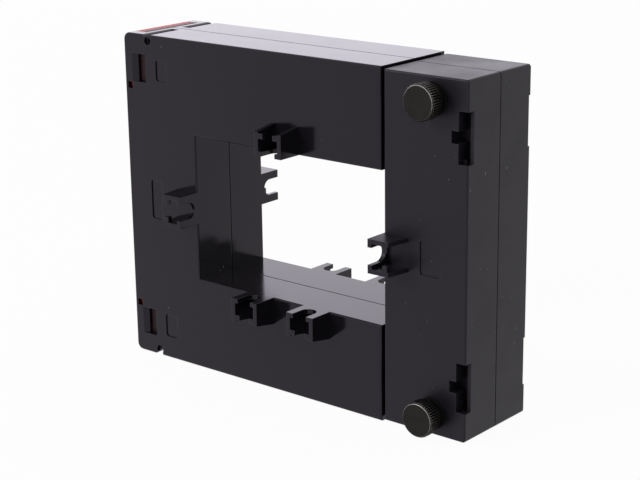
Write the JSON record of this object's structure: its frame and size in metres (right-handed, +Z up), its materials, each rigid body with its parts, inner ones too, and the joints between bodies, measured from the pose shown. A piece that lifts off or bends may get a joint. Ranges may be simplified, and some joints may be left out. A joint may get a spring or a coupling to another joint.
{
  "type": "split-core current transformer",
  "caption": "Rectangular split-core current transformer with an open busbar window, nut clips round it, a pull-off yoke held by knurled thumb screws and a red terminal cover.",
  "frame": {"origin": "middle of the bottom resting face, on the parting plane of the housing", "axes": "+X towards the removable yoke, +Y towards the rear face, +Z up with the transformer standing on its long edge"},
  "size_m": [0.1432, 0.0496, 0.1144],
  "materials": {
    "housing": "fine moulded texture",
    "cover_red": "translucent red",
    "core_steel": "stacked sheets",
    "spring_steel": "zinc plated",
    "black_brass": "blackened",
    "brass": "turned",
    "bobbin": "natural",
    "winding": "enamelled copper wire",
    "washer": "fibre"
  },
  "bodies": {
    "main_body": {"front_shell": "housing", "rear_shell": "housing", "core_u": "core_steel", "series_link": "winding", "lower_bobbin": "bobbin", "lower_winding": "winding", "lower_lead": "winding", "lower_lock_strap": "spring_steel", "lower_terminal_carrier": "bobbin", "lower_terminal_bar": "brass", "upper_bobbin": "bobbin", "upper_winding": "winding", "upper_lead": "winding", "upper_lock_strap": "spring_steel", "upper_terminal_carrier": "bobbin", "upper_terminal_bar": "brass"},
    "terminal_cover": {"terminal_cover": "cover_red"},
    "yoke": {"yoke_front_shell": "housing", "yoke_rear_shell": "housing", "yoke_core": "core_steel", "yoke_spring": "spring_steel", "lower_screw_insert": "brass", "upper_screw_insert": "brass"},
    "lower_screw_ring": {"lower_screw_washer": "washer"},
    "lower_thumb_screw": {"lower_thumb_screw": "black_brass"},
    "lower_clamp": {"lower_clamp_plate": "spring_steel"},
    "lower_terminal_screw": {"lower_terminal_screw": "spring_steel"},
    "upper_screw_ring": {"upper_screw_washer": "washer"},
    "upper_thumb_screw": {"upper_thumb_screw": "black_brass"},
    "upper_clamp": {"upper_clamp_plate": "spring_steel"},
    "upper_terminal_screw": {"upper_terminal_screw": "spring_steel"}
  },
  "joints": [
    {"name": "yoke_pull", "type": "slide", "parent": "main_body", "child": "yoke", "axis": [1, 0, 0], "range_m": [0, 0.03]},
    {"name": "cover_pull", "type": "slide", "parent": "main_body", "child": "terminal_cover", "axis": [-1, 0, 0], "range_m": [0, 0.015]},
    {"name": "lower_thumb_screw_travel", "type": "slide", "parent": "yoke", "child": "lower_screw_ring", "axis": [0, -1, 0], "range_m": [0, 0.004]},
    {"name": "lower_thumb_screw_turn", "type": "hinge", "parent": "lower_screw_ring", "child": "lower_thumb_screw", "pos_m": [0.05895, -0.0165, 0.00765], "axis": [0, -1, 0], "range_deg": [0, 1800]},
    {"name": "lower_clamp_travel", "type": "slide", "parent": "main_body", "child": "lower_clamp", "axis": [-1, 0, 0], "range_m": [0, 0.0021]},
    {"name": "lower_terminal_screw_turn", "type": "hinge", "parent": "lower_clamp", "child": "lower_terminal_screw", "pos_m": [-0.06495, 0, 0.012], "axis": [-1, 0, 0], "range_deg": [0, 1080]},
    {"name": "upper_thumb_screw_travel", "type": "slide", "parent": "yoke", "child": "upper_screw_ring", "axis": [0, -1, 0], "range_m": [0, 0.004]},
    {"name": "upper_thumb_screw_turn", "type": "hinge", "parent": "upper_screw_ring", "child": "upper_thumb_screw", "pos_m": [0.05895, -0.0165, 0.10675], "axis": [0, -1, 0], "range_deg": [0, 1800]},
    {"name": "upper_clamp_travel", "type": "slide", "parent": "main_body", "child": "upper_clamp", "axis": [-1, 0, 0], "range_m": [0, 0.0021]},
    {"name": "upper_terminal_screw_turn", "type": "hinge", "parent": "upper_clamp", "child": "upper_terminal_screw", "pos_m": [-0.06495, 0, 0.1024], "axis": [-1, 0, 0], "range_deg": [0, 1080]}
  ],
  "couplings": [
    {"joint": "lower_thumb_screw_turn", "follows": "lower_thumb_screw_travel", "rad_per_m": 7853.9},
    {"joint": "lower_terminal_screw_turn", "follows": "lower_clamp_travel", "rad_per_m": 8975},
    {"joint": "upper_thumb_screw_turn", "follows": "upper_thumb_screw_travel", "rad_per_m": 7853.9},
    {"joint": "upper_terminal_screw_turn", "follows": "upper_clamp_travel", "rad_per_m": 8975}
  ]
}
